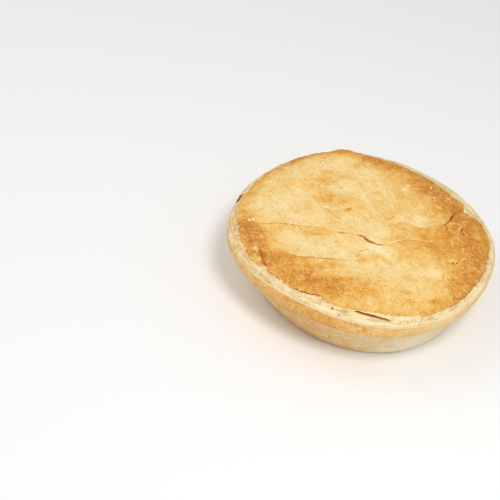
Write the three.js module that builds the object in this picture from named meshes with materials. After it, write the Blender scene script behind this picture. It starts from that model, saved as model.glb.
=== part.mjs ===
// A baked pie: a smooth tapered pastry case, solid through, with a rounded rim band, and a flaky lid whose
// cut edge shows all round above the rim. The lid's top is browned, folded and slightly domed.
// Millimetres, +Z up. The origin is the middle of the pie's outline, on the surface that it stands on.

import * as THREE from 'three';

// ---- Driving dimensions --------------------------------------------------------------------------------

const TURN_STEPS = 120;

const RIM_CENTRE = { x: 0.08, y: -0.26 };
const SEAM_GAP = 0.3;

// A ring is a closed curve round the pie: a mean radius, a mean height, how far that height rises towards
// +X and +Y, where its centre lies from the rim's centre, its lobes and its dents. A lobe entry is
// [how many lobes, swell in mm, direction of one of them in degrees]. A dent entry is
// [direction in degrees, half width in degrees, depth in mm], and a negative depth bulges outwards.
const RIM_LOBES = [[2, 0.1, 12], [3, 0.4, -52], [4, 0.9, 18]];
const SEAM_LOBES = [[2, 0.55, -7], [3, 0.7, -44], [4, 1.2, 17]];
const FOOT_LOBES = [[2, 0.75, -39], [3, 0.4, -53]];
const LID_LOBES = [[1, 1.1, -77], [2, 1.45, -5], [3, 0.5, -43], [4, 1.05, 25]];
const RIM_DENTS = [[128, 16, 0.75], [178, 14, 1.0], [70, 22, -0.8], [28, 12, 0.4]];

// Behind the flap the lid's browned edge has drawn back, and at the back it bulges over the rim.
const LID_DENTS = [[38, 15, 2.4], [24, 5, 5.2], [98, 24, -1.8]];

const FOOT = {
  radius: 44.4, height: 0, rise: [0, 0], centre: [2.2, -3.4], lobes: FOOT_LOBES, dents: [],
};
const WALL_TOP = {
  radius: 55.8, height: 20.4, rise: [0, 0], centre: [0, 0], lobes: RIM_LOBES, dents: RIM_DENTS,
};
const BAND_UNDER = {
  radius: 58.7, height: 21.4, rise: [0, 0], centre: [0, 0], lobes: RIM_LOBES, dents: RIM_DENTS,
};
const BAND_WIDEST = {
  radius: 59.9, height: 24.2, rise: [0.4, 1.1], centre: [0, 0], lobes: RIM_LOBES, dents: RIM_DENTS,
};
const SEAM = {
  radius: 58.9, height: 26.9, rise: [-0.2, -0.7], centre: [0, 0], lobes: SEAM_LOBES, dents: RIM_DENTS,
};
const LID_EDGE = {
  radius: 55.2, height: 30.0, rise: [-0.5, -0.4], centre: [0, 0], lobes: LID_LOBES, dents: LID_DENTS,
};

const FOOT_CORNER = 2.2;
const WALL_BELLY = 0.5;
const BAND_ROUNDING = 0.35;

// Case top, under the lid: how far its middle stands above the seam.
const SEAT_RISE = 2.6;

// Lid top: rounds over from the edge to a crown, higher towards the back.
const CROWN = 3.3;
const CROWN_REAR_GAIN = 1.3;
const SHOULDER_POWER = 10;

// A fold runs across the lid. Each point is [x, y, step]: a positive step lifts the pastry behind the line
// over the pastry in front of it, a negative step the other way, up to the loose flap at the right.
const FOLD = [
  [-58, -10.5, 0.3], [-46, -11.6, 0.7], [-37, -9.8, 1.1], [-26, -9.5, 1.0], [-18, -8.4, 0.9],
  [-9, -9.8, 0.8], [-1, -9.9, 1.3], [4.5, -13.2, 1.7], [9, -13.5, 1.0], [11.5, -5, 0],
  [14.4, 3.2, -0.5], [23, 1.4, -0.9], [31, 2.8, -1.2], [36, 6.2, -1.6], [43, 20.5, -2.2],
  [54, 14, -2.2],
];
const FOLD_SOFTNESS = 0.9;
const FOLD_REACH = 12;

// A softer bend in front of it.
const BEND = [
  [-50, -20, 0.1], [-41, -24.1, 0.5], [-34.5, -26.3, 0.8], [-30.4, -29.2, 1.1], [-22.9, -29.4, 1.2],
  [-16, -28.1, 1.1], [-4, -25.9, 1.0], [1.5, -22.6, 0.8], [9.9, -20.3, 0.4], [18, -17, 0],
];
const BEND_SOFTNESS = 1.4;
const BEND_REACH = 10;

// Broad swellings and hollows of the lid: [x, y, spread, height].
const SWELLS = [
  [-10, 48.5, 13, 3.2], [2, 20, 24, 0.6], [31, -5, 13, 0.7], [-27, -38, 12, 0.8], [26, -38, 13, 0.6],
  [-6, -17, 11, -0.5],
];

// The cut edge of the lid is layered: leaves of pastry stand out between deeper lines.
const LEAF_COUNT = 3;
const LEAF_DEPTH = 0.35;
const EDGE_STEPS = 6;

// At the front the upper leaves have lifted: [direction in degrees, half width, depth in mm], at this share
// of the way up the cut edge.
const LIFT = [-86, 6.5, 2.4];
const LIFT_LEVEL = 0.45;

const CASE_COLOUR = 0xdcc194;
const LID_COLOUR = 0xe4b36a;

// ---- Helpers -------------------------------------------------------------------------------------------

const radians = THREE.MathUtils.degToRad;
const lerp = THREE.MathUtils.lerp;

function lobeSwell(lobes, angle) {
  const swellOf = ([count, swell, towards]) => swell * Math.cos(count * (angle - radians(towards)));
  return lobes.reduce((sum, lobe) => sum + swellOf(lobe), 0);
}

// Bell-shaped weight of an angle about a direction, both ways round the circle.
function bell(angle, [towards, halfWidth]) {
  const turn = angle - radians(towards);
  const away = Math.atan2(Math.sin(turn), Math.cos(turn)) / radians(halfWidth);
  return Math.exp(-away * away);
}

function ringPoint(ring, angle, inset = 0) {
  const dent = ring.dents.reduce((sum, each) => sum + each[2] * bell(angle, each), 0);
  const radius = ring.radius + lobeSwell(ring.lobes, angle) - dent - inset;
  return new THREE.Vector3(
    ring.centre[0] + radius * Math.cos(angle),
    ring.centre[1] + radius * Math.sin(angle),
    ring.height + ring.rise[0] * Math.cos(angle) + ring.rise[1] * Math.sin(angle),
  );
}

function between(lower, upper, angle, share, bulge = 0) {
  const point = ringPoint(lower, angle).lerp(ringPoint(upper, angle), share);
  const outward = bulge * 4 * share * (1 - share);
  point.x += outward * Math.cos(angle);
  point.y += outward * Math.sin(angle);
  return point;
}

// The value in one column of a line's points, at a place x along it.
function alongLine(line, column, x) {
  const last = line.length - 1;
  const i = Math.max(1, line.findIndex(([px], k) => px >= x || k === last));
  const share = THREE.MathUtils.clamp((x - line[i - 1][0]) / (line[i][0] - line[i - 1][0]), 0, 1);
  return lerp(line[i - 1][column], line[i][column], share);
}

function distanceToLine(line, x, y) {
  const distances = line.slice(1).map(([bx, by], i) => {
    const [ax, ay] = line[i];
    const along = (x - ax) * (bx - ax) + (y - ay) * (by - ay);
    const share = THREE.MathUtils.clamp(along / ((bx - ax) ** 2 + (by - ay) ** 2), 0, 1);
    return Math.hypot(x - lerp(ax, bx, share), y - lerp(ay, by, share));
  });
  return Math.min(...distances);
}

// Relief across a fold line of [x, y, step] points, at a point of the plan.
function foldRelief(line, softness, reach, x, y) {
  const side = Math.sign(y - alongLine(line, 1, x));
  const distance = distanceToLine(line, x, y);
  const fade = Math.exp(-distance / reach);
  return 0.5 * alongLine(line, 2, x) * side * Math.tanh(distance / softness) * fade;
}

// A mesh turned from the profile of its rings and then pushed out of round, vertex by vertex. The first and
// the last ring are points on the axis.
function turned(name, rings, colour) {
  const last = rings.length - 1;
  const profile = rings.map((ring, i) => {
    const point = ring(0);
    return new THREE.Vector2(i === 0 || i === last ? 0 : Math.hypot(point.x, point.y), point.z);
  });
  const geometry = new THREE.LatheGeometry(profile, TURN_STEPS);
  const position = geometry.attributes.position;
  for (let i = 0; i < position.count; i += 1) {
    const step = Math.floor(i / rings.length) % TURN_STEPS;
    const point = rings[i % rings.length]((step / TURN_STEPS) * 2 * Math.PI);
    position.setXYZ(i, point.x + RIM_CENTRE.x, point.y + RIM_CENTRE.y, point.z);
  }
  geometry.computeVertexNormals();
  const material = new THREE.MeshStandardMaterial({ color: colour, roughness: 0.75, metalness: 0 });
  const mesh = new THREE.Mesh(geometry, material);
  mesh.name = name;
  return mesh;
}

// ---- Case ----------------------------------------------------------------------------------------------

// Height of the case's top under the lid, at a share of the way from the middle out to the seam.
function seatHeight(share, angle) {
  const seam = ringPoint(SEAM, angle).z;
  return lerp(SEAM.height, seam, share) + SEAT_RISE * (1 - share * share);
}

const WALL_SHARES = [0.25, 0.5, 0.75];
const BAND_SHARES = [0.5];
const SEAT_SHARES = [0.95, 0.7, 0.4];

const CASE_RINGS = [
  () => new THREE.Vector3(FOOT.centre[0], FOOT.centre[1], 0),
  (angle) => ringPoint(FOOT, angle, FOOT_CORNER),
  (angle) => ringPoint(FOOT, angle, FOOT_CORNER * 0.3).setZ(FOOT_CORNER * 0.25),
  (angle) => between(FOOT, WALL_TOP, angle, FOOT_CORNER / WALL_TOP.height),
  ...WALL_SHARES.map((share) => (angle) => between(FOOT, WALL_TOP, angle, share, WALL_BELLY)),
  (angle) => ringPoint(WALL_TOP, angle),
  (angle) => ringPoint(BAND_UNDER, angle, 1.1).setZ(WALL_TOP.height + 0.25),
  (angle) => ringPoint(BAND_UNDER, angle),
  ...BAND_SHARES.map((share) => (angle) => between(BAND_UNDER, BAND_WIDEST, angle, share, BAND_ROUNDING)),
  (angle) => ringPoint(BAND_WIDEST, angle),
  ...BAND_SHARES.map((share) => (angle) => between(BAND_WIDEST, SEAM, angle, share, BAND_ROUNDING)),
  (angle) => ringPoint(SEAM, angle),
  ...SEAT_SHARES.map((share) => (angle) => {
    const seam = ringPoint(SEAM, angle);
    return new THREE.Vector3(seam.x * share, seam.y * share, seatHeight(share, angle));
  }),
  () => new THREE.Vector3(0, 0, seatHeight(0, 0)),
];

// ---- Lid -----------------------------------------------------------------------------------------------

function lidCutEdgePoint(angle, share) {
  const low = ringPoint(SEAM, angle, SEAM_GAP);
  low.z += SEAM_GAP;
  const point = low.lerp(ringPoint(LID_EDGE, angle), share);
  const leaf = LEAF_DEPTH * Math.sin(Math.PI * LEAF_COUNT * share) ** 2;
  const level = (share - LIFT_LEVEL) * EDGE_STEPS;
  const lift = LIFT[2] * bell(angle, LIFT) * Math.exp(-level * level);
  const inward = 1 - (lift - leaf) / Math.hypot(point.x, point.y);
  point.x *= inward;
  point.y *= inward;
  return point;
}

function lidTopPoint(angle, share) {
  const edge = ringPoint(LID_EDGE, angle);
  const x = edge.x * share;
  const y = edge.y * share;
  const crown = CROWN + CROWN_REAR_GAIN * (y / LID_EDGE.radius);
  const shoulder = 1 - share ** SHOULDER_POWER;
  const fold = foldRelief(FOLD, FOLD_SOFTNESS, FOLD_REACH, x, y);
  const bend = foldRelief(BEND, BEND_SOFTNESS, BEND_REACH, x, y);
  const swells = SWELLS.reduce((sum, [sx, sy, spread, height]) => {
    const away = Math.hypot(x - sx, y - sy) / spread;
    return sum + height * Math.exp(-away * away);
  }, 0);
  const height = lerp(LID_EDGE.height, edge.z, share) + (crown + swells) * shoulder + fold + bend;
  return new THREE.Vector3(x, y, height);
}

const UNDER_SHARES = [0.4, 0.7, 0.95];
const SHOULDER_SHARES = [0.985, 0.965, 0.94];
const TOP_RINGS = 22;
const TOP_SHARES = Array.from({ length: TOP_RINGS }, (_, i) => 0.91 * (1 - i / TOP_RINGS));

const LID_RINGS = [
  () => new THREE.Vector3(0, 0, seatHeight(0, 0) + SEAM_GAP),
  ...UNDER_SHARES.map((share) => (angle) => {
    const seam = ringPoint(SEAM, angle);
    return new THREE.Vector3(seam.x * share, seam.y * share, seatHeight(share, angle) + SEAM_GAP);
  }),
  ...Array.from({ length: EDGE_STEPS + 1 }, (_, i) => (angle) => lidCutEdgePoint(angle, i / EDGE_STEPS)),
  ...SHOULDER_SHARES.map((share) => (angle) => lidTopPoint(angle, share)),
  ...TOP_SHARES.map((share) => (angle) => lidTopPoint(angle, share)),
  () => lidTopPoint(0, 0),
];

// ---- The pie -------------------------------------------------------------------------------------------

const pie = new THREE.Group();
pie.add(turned('case', CASE_RINGS, CASE_COLOUR));
pie.add(turned('lid', LID_RINGS, LID_COLOUR));

export default pie;
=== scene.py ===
"""A baked pie: a smooth tapered pastry case with a rounded rim band, and a browned, folded, flaky lid.

Both pastries are spun from a profile and then pushed out of round, creased and roughened vertex by vertex.
Their finishes are procedural. Lengths inside this script are design millimetres, turned into metres by the
size of the frame, and measured from the middle of the rim unless they say otherwise. Directions are degrees
round that middle, from +X towards +Y.
"""

import math
from collections import namedtuple

import bmesh
import bpy
import numpy as np
from mathutils import Matrix, Vector


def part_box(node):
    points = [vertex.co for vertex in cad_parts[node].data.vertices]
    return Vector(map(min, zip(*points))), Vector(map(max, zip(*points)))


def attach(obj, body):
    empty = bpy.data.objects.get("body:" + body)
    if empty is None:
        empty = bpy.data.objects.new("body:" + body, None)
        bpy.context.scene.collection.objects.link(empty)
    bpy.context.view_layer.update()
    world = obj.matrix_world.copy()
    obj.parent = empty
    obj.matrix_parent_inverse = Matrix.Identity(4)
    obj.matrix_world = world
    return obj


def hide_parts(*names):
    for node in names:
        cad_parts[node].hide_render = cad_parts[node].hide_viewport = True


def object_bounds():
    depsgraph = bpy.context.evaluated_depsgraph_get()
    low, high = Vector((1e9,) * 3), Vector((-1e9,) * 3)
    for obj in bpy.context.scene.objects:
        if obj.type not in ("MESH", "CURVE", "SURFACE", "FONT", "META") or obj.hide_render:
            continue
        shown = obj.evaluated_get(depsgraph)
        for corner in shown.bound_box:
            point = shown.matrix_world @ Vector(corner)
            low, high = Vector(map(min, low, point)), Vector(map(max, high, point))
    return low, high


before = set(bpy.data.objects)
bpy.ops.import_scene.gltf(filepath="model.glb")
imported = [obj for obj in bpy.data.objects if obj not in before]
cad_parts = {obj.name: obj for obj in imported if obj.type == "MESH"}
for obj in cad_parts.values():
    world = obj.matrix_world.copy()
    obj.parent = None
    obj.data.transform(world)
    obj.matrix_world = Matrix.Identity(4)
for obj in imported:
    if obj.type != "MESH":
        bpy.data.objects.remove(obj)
cad_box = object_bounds()

# ---- Sizes of both pastries ------------------------------

# The case is this wide in design millimetres, which says how long one of them is.
DESIGN_WIDTH = 120.29
case_low, case_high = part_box("case")
MM = (case_high.x - case_low.x) / DESIGN_WIDTH
# The middle of the rim, from the frame's origin.
RIM_CENTRE = (0.08, -0.26)
# The gap between the two pastries.
SEAM_GAP = 0.06

# A ring: mean radius and height, lobes, dents, how far the height rises towards +X and +Y, and centre.
# A lobe is (how many, swell, direction), a dent (direction, half width in degrees, depth).
Ring = namedtuple("Ring", "radius height lobes dents rise centre", defaults=((), (0.0, 0.0), (0.0, 0.0)))

RIM_LOBES = ((2, 0.1, 12), (3, 0.4, -52), (4, 0.9, 18))
SEAM_LOBES = ((2, 0.55, -7), (3, 0.7, -44), (4, 1.2, 17))
FOOT_LOBES = ((2, 0.75, -39), (3, 0.4, -53))
LID_LOBES = ((1, 1.1, -77), (2, 1.45, -5), (3, 0.5, -43), (4, 1.05, 25))
RIM_DENTS = ((128, 16, 0.75), (178, 14, 1.0), (70, 22, -0.8), (28, 12, 0.4))
LID_DENTS = ((38, 15, 2.4), (24, 5, 5.2), (98, 24, -1.8))
# The lid's rim is also cut unevenly, too finely for the frame.
FINE_DENTS = (
    (-122, 6, -0.9), (-110, 4, 0.9), (-100, 5, -1.0), (-82, 8, 0.8), (-61, 5, -0.8), (-30, 7, 0.5),
    (198, 6, 0.7), (214, 5, -0.6), (12, 5, 0.8),
)

FOOT = Ring(44.4, 0.0, FOOT_LOBES, centre=(2.2, -3.4))
WALL_TOP = Ring(55.8, 20.4, RIM_LOBES, RIM_DENTS)
BAND_UNDER = Ring(59.4, 20.8, RIM_LOBES, RIM_DENTS)
BAND_WIDEST = Ring(59.9, 24.2, RIM_LOBES, RIM_DENTS, rise=(0.4, 1.1))
SEAM = Ring(58.9, 26.9, SEAM_LOBES, RIM_DENTS, rise=(-0.2, -0.7))
LID_EDGE = Ring(55.2, 30.0, LID_LOBES, LID_DENTS + FINE_DENTS, rise=(-0.5, -0.4))

# Each piece has this many points round it. The spin makes every eighth of them, and a division the rest.
LID_STEPS = 560
CASE_STEPS = 480
RING_CUTS = 8
MERGE_DISTANCE = 1e-4

# Pin holes and specks: x, y, z, radius, darkness. The two largest are dried gravy at the back left.
PIN_HOLES = (
    (-57.0, 12.0, 28.5, 1.4, 1.7), (-58.0, 8.9, 27.9, 1.4, 1.7), (-56.2, 16.2, 28.8, 0.8, 0.7),
    (-11.7, -54.2, 29.2, 0.45, 0.9), (-8.5, -56.0, 28.5, 0.45, 0.8), (-9.1, -58.4, 22.7, 0.4, 0.8),
    (-5.8, -58.9, 24.2, 0.45, 0.9), (12.5, -56.0, 29.0, 0.5, 0.75), (16.9, -55.7, 28.8, 0.4, 0.75),
    (19.8, -54.9, 28.8, 0.4, 0.75), (21.2, -54.4, 28.9, 0.35, 0.75), (22.7, -53.9, 29.0, 0.4, 0.75),
    (25.6, -52.7, 28.9, 0.4, 0.65), (29.1, -51.2, 28.4, 0.35, 0.65), (31.6, -49.8, 28.4, 0.4, 0.65),
    (39.0, -17.8, 32.8, 0.7, 1.2), (40.7, -17.3, 32.7, 0.6, 1.1), (42.8, 3.0, 33.5, 0.6, 0.8),
    (43.9, 1.4, 33.4, 0.7, 0.8), (49.3, -24.0, 31.5, 0.7, 0.6), (47.5, -12.0, 32.4, 0.6, 0.6),
    (-7.2, 6.3, 34.0, 0.7, 0.45), (-15.7, 13.0, 34.1, 0.7, 0.35),
)
# How deep a hole of darkness 1 is in the sides and in the top, and the scale in which it is round.
HOLE_DEPTH_IN_SIDE = 0.25
HOLE_DEPTH_IN_TOP = 0.3
HOLE_SCALE = (1.0, 1.0, 0.7)

# Uneven surfaces: the (height, wavelength, seed, octaves) of the noises that are added up.
WALL_ROUGHNESS = ((0.3, 17, 1, 2), (0.09, 3.0, 2, 3))
BAND_ROUGHNESS = ((0.25, 12, 3, 2), (0.12, 2.6, 4, 3))
LID_RIM_WOBBLE = ((0.35, 7, 11, 2), (0.35, 2.2, 12, 2))

# ---- Sizes of the case -----------------------------------

# Radius of the foot's corner, how far the wall and the upper half of the rim band bulge, and how far the
# whole band is drawn in.
FOOT_CORNER = 2.2
WALL_BELLY = 0.5
BAND_ROUNDING = 0.35
BAND_SINK = 0.15
# How far the case's top rises from the seam to the middle, under the lid.
SEAT_RISE = 2.6
# How well baked the wall and the band are, 0 to 1, and how much darker or lighter at some sides, (direction,
# half width, amount): the left darker than the right, partly baking and partly painted shade.
WALL_BAKE = 0.38
WALL_BAKE_AND_SHADE_SIDES = ((235, 45, 0.36), (120, 50, 0.20), (-50, 36, -0.42), (-110, 12, 0.14), (-88, 9, -0.08))
BAND_BAKE = 0.42
BAND_BAKE_AND_SHADE_SIDES = ((-108, 34, 0.26), (-48, 34, -0.34), (120, 50, 0.10), (-103, 13, 0.16), (-140, 14, -0.15))

# ---- Sizes of the lid ------------------------------------

# How far the middle of the lid rises over its edge, how much more it does at the rear, and how square its
# shoulder is.
CROWN = 3.3
CROWN_REAR_GAIN = 1.3
SHOULDER_POWER = 10
# Swellings and hollows: x, y, spread, height.
SWELLS = (
    (-11, 48.5, 14, 2.7), (2, 20, 24, 0.5), (31, -5, 13, 0.6), (-27, -38, 12, 0.7), (26, -38, 13, 0.5),
    (-6, -17, 11, -0.5), (-16, 15, 6, 0.3), (18, 28, 5, 0.3), (30, 14, 7, -0.3), (-36, -20, 6, -0.3),
)

# A crease of the lid. Its line is a row of (x, y, step) points: a positive step lifts the pastry behind the
# line over what is in front of it, a negative one the other way. Softness is how wide the step is, reach how
# far it runs out to both sides, raggedness how far the line strays. A mark, (x, mark), is how dark the line
# is drawn: partly browning, partly painted shade in the crease. A tone, (x, tone, reach), is how much darker
# one side is, near the line and fading away from it: partly browning, partly painted shade on the lower side
# of the step. The toned side is in front of the fold and the bend, and behind the ridge.
Crease = namedtuple("Crease", "line softness reach marks tones raggedness", defaults=(None, 1.0))

# The fold across the lid, which runs on round the loose flap at the right.
FOLD = Crease(
    line=(
        (-58, -10.4, 0.3), (-50.9, -10.9, 0.6), (-46, -11.6, 0.8), (-38.3, -9.9, 1.2), (-31, -10, 1.1),
        (-26.2, -9.4, 1.0), (-18.4, -8.4, 0.8), (-13.9, -9.3, 0.7), (-9.3, -9.8, 0.9), (-3, -9.6, 1.1),
        (-0.9, -9.9, 1.4), (0.7, -11, 1.6), (2.4, -12.3, 1.7), (4.9, -13.3, 1.7), (8.7, -13.6, 1.2),
        (11.3, -5, 0), (14.4, 3.2, -0.5), (18.5, 3.6, -0.7), (23.3, 0.6, -0.7), (31, 3.6, -1.0),
        (35.5, 6.4, -1.5), (37.9, 9.7, -1.8), (38.9, 13, -2.2), (40.5, 16, -2.6), (44, 21.4, -2.4),
        (54, 14, -2.2),
    ),
    softness=0.4,
    reach=12.0,
    # The marks are darkest in the vent slits, x -12 to 9, and along the flap, x 34 to 54: painted shade
    # there, partly browning.
    marks=(
        (-58, 0.1), (-50, 0.35), (-40, 0.4), (-30, 0.3), (-18, 0.15), (-12.4, 0.1), (-11.6, 0.6),
        (-8.6, 0.5), (-7.6, 0.2), (-3.8, 0.2), (-3.0, 0.6), (-1.0, 0.7), (0, 1.0), (3, 0.95), (4.6, 0.6),
        (8, 0.5), (8.9, 0.0), (30, 0.0), (34, 0.3), (37, 0.9), (45, 0.9), (54, 0.7),
    ),
    tones=(
        (-58, 0.10, 4), (-44, 0.16, 3), (-30, 0.20, 3.5), (-16, 0.17, 3), (-6, 0.02, 2), (9, 0.0, 3),
        (13, 0.12, 10), (18, 0.24, 14), (34, 0.28, 18), (40, 0.34, 20), (54, 0.34, 20),
    ),
)
# The bend in front of it.
BEND = Crease(
    line=(
        (-50, -20, 0.1), (-47.2, -22, 0.3), (-40.9, -24.1, 0.6), (-34.5, -26.3, 0.9), (-30.4, -29.2, 1.3),
        (-26.6, -29.5, 1.4), (-18.6, -28.6, 1.4), (-9.9, -26.6, 1.3), (-4, -25.9, 1.1), (1.5, -22.6, 0.8),
        (5.6, -21.6, 0.6), (9.9, -20.3, 0.4), (18, -17, 0.0),
    ),
    softness=0.7,
    reach=9.0,
    marks=((-40, 0.0), (-32, 0.2), (-29, 0.35), (-20, 0.4), (-10, 0.35), (-3, 0.25), (4, 0.12), (12, 0.0)),
    tones=(
        (-50, 0.0, 6), (-40, 0.06, 8), (-32, 0.24, 12), (-6, 0.17, 9), (0, 0.15, 7), (8, 0.06, 6),
        (16, 0.0, 6),
    ),
)
# The ridge that bounds the pale middle of the lid at its right.
RIDGE = Crease(
    line=(
        (-34, 29, 0.0), (-26.6, 27, -0.1), (-18.1, 20, -0.2), (-14.5, 24.3, -0.35), (-10, 27.7, -0.45),
        (-5.3, 27.5, -0.4), (-2.3, 22.5, -0.4), (0, 16.3, -0.4), (2.6, 11, -0.5), (5.8, 2.9, -0.6),
        (10.5, -4.0, -0.6), (12.5, -6, 0.0),
    ),
    softness=0.6,
    reach=4.0,
    marks=((-28, 0.0), (-15, 0.24), (-8, 0.28), (-2, 0.14), (2, 0.15), (6, 0.25), (10, 0.2), (12, 0.0)),
    tones=(
        (-28, 0.0, 3), (-20, 0.14, 3.5), (-5, 0.16, 3.5), (-2, 0.12, 4), (2, 0.14, 4), (12, 0.16, 4),
        (16, 0.0, 4),
    ),
)
# The thin lip in front of the browned right part.
LIP = Crease(
    line=(
        (8.7, -13.4, 0.0), (9.7, -13.2, 0.35), (13.6, -10.6, 0.45), (18.4, -8.5, 0.4), (22.8, -7.7, 0.3),
        (26.2, -8.1, 0.25), (31.8, -6.5, 0.3), (36.2, -9.2, 0.25), (42, -10, 0.0),
    ),
    softness=0.5,
    reach=3.0,
    raggedness=1.5,
    marks=((9, 0.0), (12, 0.3), (22, 0.35), (30, 0.2), (38, 0.1), (42, 0.0)),
)
CREASES = {"fold": FOLD, "bend": BEND, "ridge": RIDGE, "lip": LIP}
# How dark the shadow under the flap is, just in front of the fold, (x, mark).
FLAP_MARKS = ((33, 0.0), (36, 0.5), (37.5, 1.2), (40.5, 1.4), (43, 0.9), (47, 1.1), (52, 1.5), (54, 1.2))
# The flap's outer edge: direction and half width of its dark line, painted shade under the lifted edge.
FLAP_EDGE = (21, 5)

# Depth of the vent slit along the fold, (x, depth), and its half width. The fold is clean cut round this x,
# and grows ragged between these distances from it.
SLIT = (
    (-11.8, 0.0), (-10.8, 0.3), (-8.8, 0.3), (-7.6, 0.0), (-3.6, 0.0), (-2.6, 0.3), (-1.0, 0.6), (0.4, 0.8),
    (3.0, 0.7), (4.6, 0.4), (8.0, 0.3), (9.0, 0.0),
)
SLIT_HALF_WIDTH = 0.32
SLIT_MIDDLE = 4
SLIT_CLEAN_CUT = (5, 12)

# A blister on the flap has broken open, and its skin stands up: x, y of its outline, its middle, its height,
# and where its edge is dark, (direction, half width, mark).
CHIP = (
    (35.8, 4.5), (37.0, 2.5), (38.2, 1.4), (40.0, 1.0), (41.9, 1.7), (42.9, 3.3), (44.0, 5.9), (43.0, 7.8),
    (40.7, 8.0), (38.4, 7.0),
)
CHIP_MIDDLE = (40, 4.5)
CHIP_RISE = 0.45
CHIP_MARKS = ((-28, 28, 1.2), (185, 24, 0.8), (20, 40, 0.4))
# Loose crumbs of pastry at the front left, with a deep gap behind them.
CRUMBLE = (
    (-48.7, -27.1), (-47.3, -24.9), (-45.5, -25.7), (-44.6, -28.1), (-44.5, -31.1), (-43.2, -33.5),
    (-44.3, -34.7), (-46.1, -31.5), (-47.6, -29.9),
)
CRUMBLE_RISE = 0.8
# The line of the gap, its depth and half width, and the half width and amount of the painted shade beside it.
CRUMBLE_GAP = ((-44.3, -27.6), (-43.2, -30.6), (-42.4, -33.4), (-41.0, -35.4))
CRUMBLE_GAP_DEPTH = 0.6
CRUMBLE_GAP_HALF_WIDTH = 0.5
CRUMBLE_GAP_SHADE = (1.6, 0.4)

# Heights of the skin's finer relief.
BUCKLE_HEIGHT = 0.30
LEAF_HEIGHT = 0.26
BLISTER_HEIGHT = 0.22
BUBBLE_HEIGHT = 0.11
TORN_HEIGHT = 0.45
WRINKLE_HEIGHT = 0.20
# How far torn lines stray, and how far browned borders and leaves are pulled about.
RAGGEDNESS = 0.35
BORDER_SMEAR = 2.2
LEAF_WARP = 4
# How many leaves lie over each other, and how they are stretched.
LEAF_COUNT = 3.5
LEAF_STRETCH = (1.0, 1.4, 1.0)
WRINKLE_WIDTH = 0.035
# Skin that isn't browned is still so flaky.
FLAKY_FLOOR = 0.35

# Where the top is browned: x, y, long reach, short reach, turn in degrees, amount.
BROWNING = (
    (27, 33, 21, 11, -33, 0.30), (34, 30, 12, 8, -50, 0.44), (10, 45, 20, 5, -10, 0.34),
    (40, 20, 7, 6, -60, 0.22), (28, 14, 9, 8, -30, 0.10), (14, 14, 7, 11, 0, 0.06),
    (46, 9, 10, 10, 0, 0.29), (40, -10, 18, 17, 0, 0.18), (49, -13, 15, 6, 82, 0.30),
    (45, -4, 10, 5, 30, 0.10), (42, -33, 15, 8, 60, 0.34), (30, -46, 14, 5, 28, 0.16),
    (28, -13, 12, 7, 0, 0.13), (16, -6, 8, 5, 30, 0.05), (-23, -42, 17, 8, -14, 0.34),
    (-34, -33, 10, 6, -35, 0.14), (-48, -20, 11, 6, -68, 0.64), (-43, -30, 7, 4, -55, 0.28),
    (-53, -12, 8, 4, 85, 0.20), (-13, -36, 9, 6, 20, 0.10), (-3, -44, 18, 8, 0, 0.26),
    (20, -42, 14, 7, 22, -0.06), (-2, -33, 8, 5, 0, -0.08), (-34, 41, 24, 5, 42, 0.38),
    (-10, 47, 30, 5, 0, 0.32), (-52, 12, 14, 4, 75, 0.24), (-15, 9, 8, 8, 0, 0.20),
    (-14, 12, 5, 4, 0, 0.16), (-20, 24, 9, 5, 40, 0.12), (-36, 20, 9, 7, 0, 0.12),
    (-42, 2, 10, 7, 0, -0.06), (5, 3, 5, 0.8, -40, 0.20), (-0.2, 2, 3.5, 0.6, -45, 0.22),
    (-21, -12.5, 5, 1.2, 5, 0.30), (-20, -9.5, 5, 1.4, 0, 0.12), (0, -17.7, 2.0, 0.6, 20, 0.5),
    (-7.2, 6.4, 1.0, 0.7, 0, 0.5), (26, 6.5, 7, 2.6, 14, -0.2), (-14, -20, 17, 6, 8, -0.11),
    (20, -26, 14, 4, -8, -0.17), (6, -16, 6, 2.5, -30, -0.26), (0, -3, 9, 6, 0, -0.06),
    (2, 26, 5, 14, 0, -0.07), (-8, 34, 8, 6, 0, -0.05), (34, -26, 5, 3, 30, -0.10),
    (3, -22, 6, 2, 10, 0.12),
)
BROWNING_FLOOR = 0.25
BROWNING_GAIN = 1.12
# The rim is browner, by how much and how far in, and so are the blisters.
RIM_BROWNING = (0.20, 2.2)
BLISTER_BROWNING = 0.12
# Where the skin is torn and crumbly, in the same way.
TORN = ((50, -8, 13, 5, 90, 1.0), (-49, -21, 13, 5, 118, 1.0), (-30, -43, 10, 4, -30, 0.5))
# The browned rim is burnt here, with painted shade by the flap's lifted edge at 18 degrees, and the cut edge
# frayed there, and darker, partly with painted shade: direction, half width, amount.
RIM_MARKS = (
    (-116, 6, 1.0), (-151, 5, 0.6), (-132, 10, 0.4), (-10, 8, 0.5), (38, 10, 0.5), (-35, 12, 0.3),
    (70, 16, 0.3), (18, 5, 1.2),
)
FRAYED_AND_SHADED_SIDES = ((196, 34, 1.0), (235, 25, 0.35), (0, 35, 0.5))
# Specks of flour, x, y, with how pale they are and their spread in square millimetres.
FLOUR = ((30.1, 32.6), (31.4, 25.0), (38.2, 27.4), (-51.0, -10.5), (-49.4, -9.6), (19.1, 30.5), (17.6, 27.0))
FLOUR_PALENESS = 2.4
FLOUR_SPREAD = 0.35

# The slanted cut edge is this broad from seam to browned rim, and the underside counts as further down still.
CUT_EDGE_BREADTH = 5.0
UNDER_CUT_EDGE = 6.0
# The noise that makes its leaves runs this far from seam to rim, so that they are thin.
STRATA_SPAN = 40
# At the front its upper leaves have lifted off a slot: direction and half width in degrees, depth, and share
# of the way up the cut edge, with its change for each degree round and its half height.
LIFT_DIRECTION = -85.2
LIFT_HALF_WIDTH = 8.0
LIFT_DEPTH = 2.6
LIFT_LEVEL = 0.62
LIFT_SLOPE = -0.024
LIFT_HALF_HEIGHT = 0.10

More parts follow.
